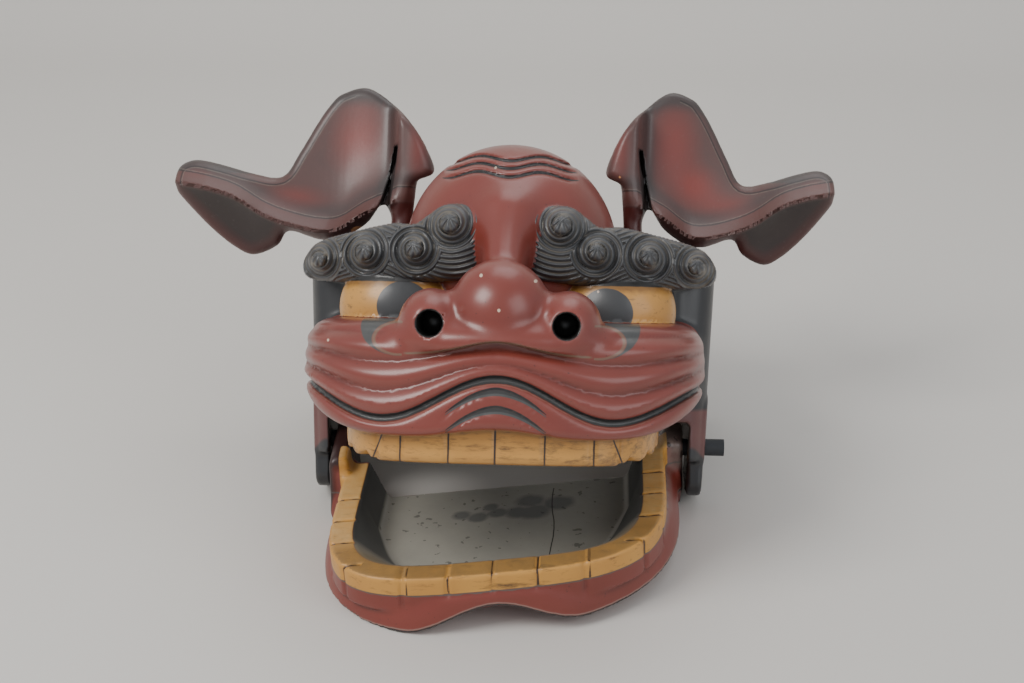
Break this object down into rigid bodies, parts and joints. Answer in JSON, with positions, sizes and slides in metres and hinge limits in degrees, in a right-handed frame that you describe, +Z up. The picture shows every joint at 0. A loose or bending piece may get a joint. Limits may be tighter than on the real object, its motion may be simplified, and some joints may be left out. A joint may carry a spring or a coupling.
{
  "type": "lion dance head",
  "caption": "Carved and lacquered wooden lion head with a hinged lower jaw held on a rod and lift-out ears, standing with its mouth wide open.",
  "frame": {"origin": "middle of the bounding box's floor, under the head", "axes": "+Z up, the face looks along -Y, +X to the right of somebody who looks at the face"},
  "size_m": [0.525, 0.4076, 0.2734],
  "materials": {
    "red_lacquer": "worn satin lacquer, with black, charcoal and gold paint on the carving",
    "jaw_lacquer": "worn satin lacquer, with gold teeth and a grey painted tray",
    "ear_lacquer": "dark red lacquer shaded to black at the edges",
    "slate_paint": "matt slate black paint"
  },
  "bodies": {
    "head": {"upper_head": "red_lacquer", "left_ear": "ear_lacquer", "right_ear": "ear_lacquer", "jaw_rod": "slate_paint"},
    "jaw": {"lower_jaw": "jaw_lacquer"}
  },
  "joints": [
    {"name": "jaw_hinge", "type": "hinge", "parent": "head", "child": "jaw", "pos_m": [0.0115, -0.0085, 0.044], "axis": [-1, 0, 0], "range_deg": [0, 21.5]}
  ]
}
